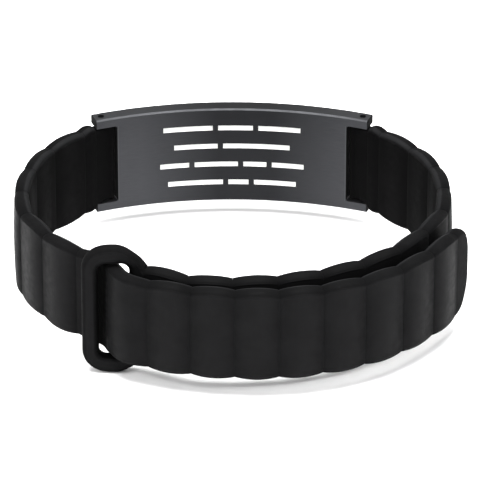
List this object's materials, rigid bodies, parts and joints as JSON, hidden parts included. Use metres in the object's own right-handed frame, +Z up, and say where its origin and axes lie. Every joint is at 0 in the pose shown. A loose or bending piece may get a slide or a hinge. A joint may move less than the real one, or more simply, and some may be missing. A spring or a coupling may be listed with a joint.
{
  "type": "medical alert bracelet",
  "caption": "Medical alert bracelet: a curved dark steel plate pinned to ribbed silicone straps that close through a flat slotted end ring.",
  "frame": {"origin": "middle of the footprint, on the surface that the bracelet lies on with its straps' edges down", "axes": "+Z up along the wrist's axis, +Y from the clasp towards the plate, +X to the viewer's right when the clasp faces the viewer"},
  "size_m": [0.0732, 0.062, 0.023],
  "materials": {
    "plate": "satin dark grey coated steel with white filled marks",
    "pin": "dark steel",
    "strap": "matt black silicone with a soft sheen"
  },
  "bodies": {
    "root": {"id_plate": "plate", "pin_left": "pin", "pin_right": "pin", "long_strap": "strap", "loop_strap": "strap"}
  },
  "joints": []
}
